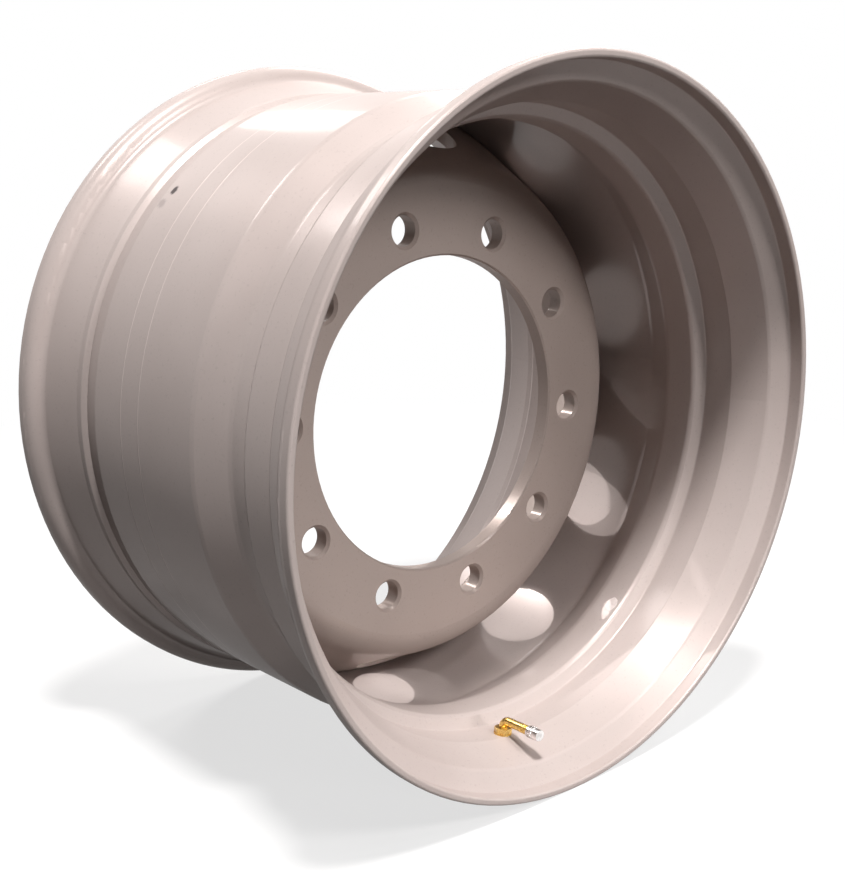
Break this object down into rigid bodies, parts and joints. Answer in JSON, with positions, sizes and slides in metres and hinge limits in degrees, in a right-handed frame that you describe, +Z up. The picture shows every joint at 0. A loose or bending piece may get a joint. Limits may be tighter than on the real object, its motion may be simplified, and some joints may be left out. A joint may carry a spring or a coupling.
{
  "type": "steel disc wheel",
  "caption": "Wide drop-centre steel wheel: rolled rim with a dished disc, centre bore, ring of stud holes, hand holes and a bent valve on the front ledge.",
  "frame": {"origin": "centre of the face that bolts to the hub, which is also the middle of the rim's width, so the origin is the centre of the wheel", "axes": "+Y along the axle towards the hub and the axle beam, so the side that shows the wheel nuts and the valve looks towards -Y; +Z up; +X to the right as the nut side is seen"},
  "size_m": [0.597, 0.394, 0.5968],
  "materials": {
    "rim_paint": "satin silver grey paint",
    "disc_paint": "satin silver grey paint",
    "brass": "bright turned brass",
    "rubber": "matt black rubber",
    "cap_plate": "bright plated",
    "spring_steel": "drawn wire"
  },
  "bodies": {
    "wheel": {"rim": "rim_paint", "disc": "disc_paint", "disc_weld": "disc_paint", "valve_stem": "brass", "valve_grommet": "rubber", "valve_washer": "brass", "valve_nut": "brass", "core_body": "brass", "core_seal": "rubber", "core_spring": "spring_steel", "valve_cap": "cap_plate", "cap_seal": "rubber"},
    "core_pin": {"core_pin": "brass", "core_pin_seal": "rubber"}
  },
  "joints": [
    {"name": "core_pin_slide", "type": "slide", "parent": "wheel", "child": "core_pin", "axis": [0, 1, 0], "range_m": [0, 0.0015], "stiffness_N_per_m": 3000, "springref_m": -0.0015, "deforming": ["core_spring"]}
  ]
}
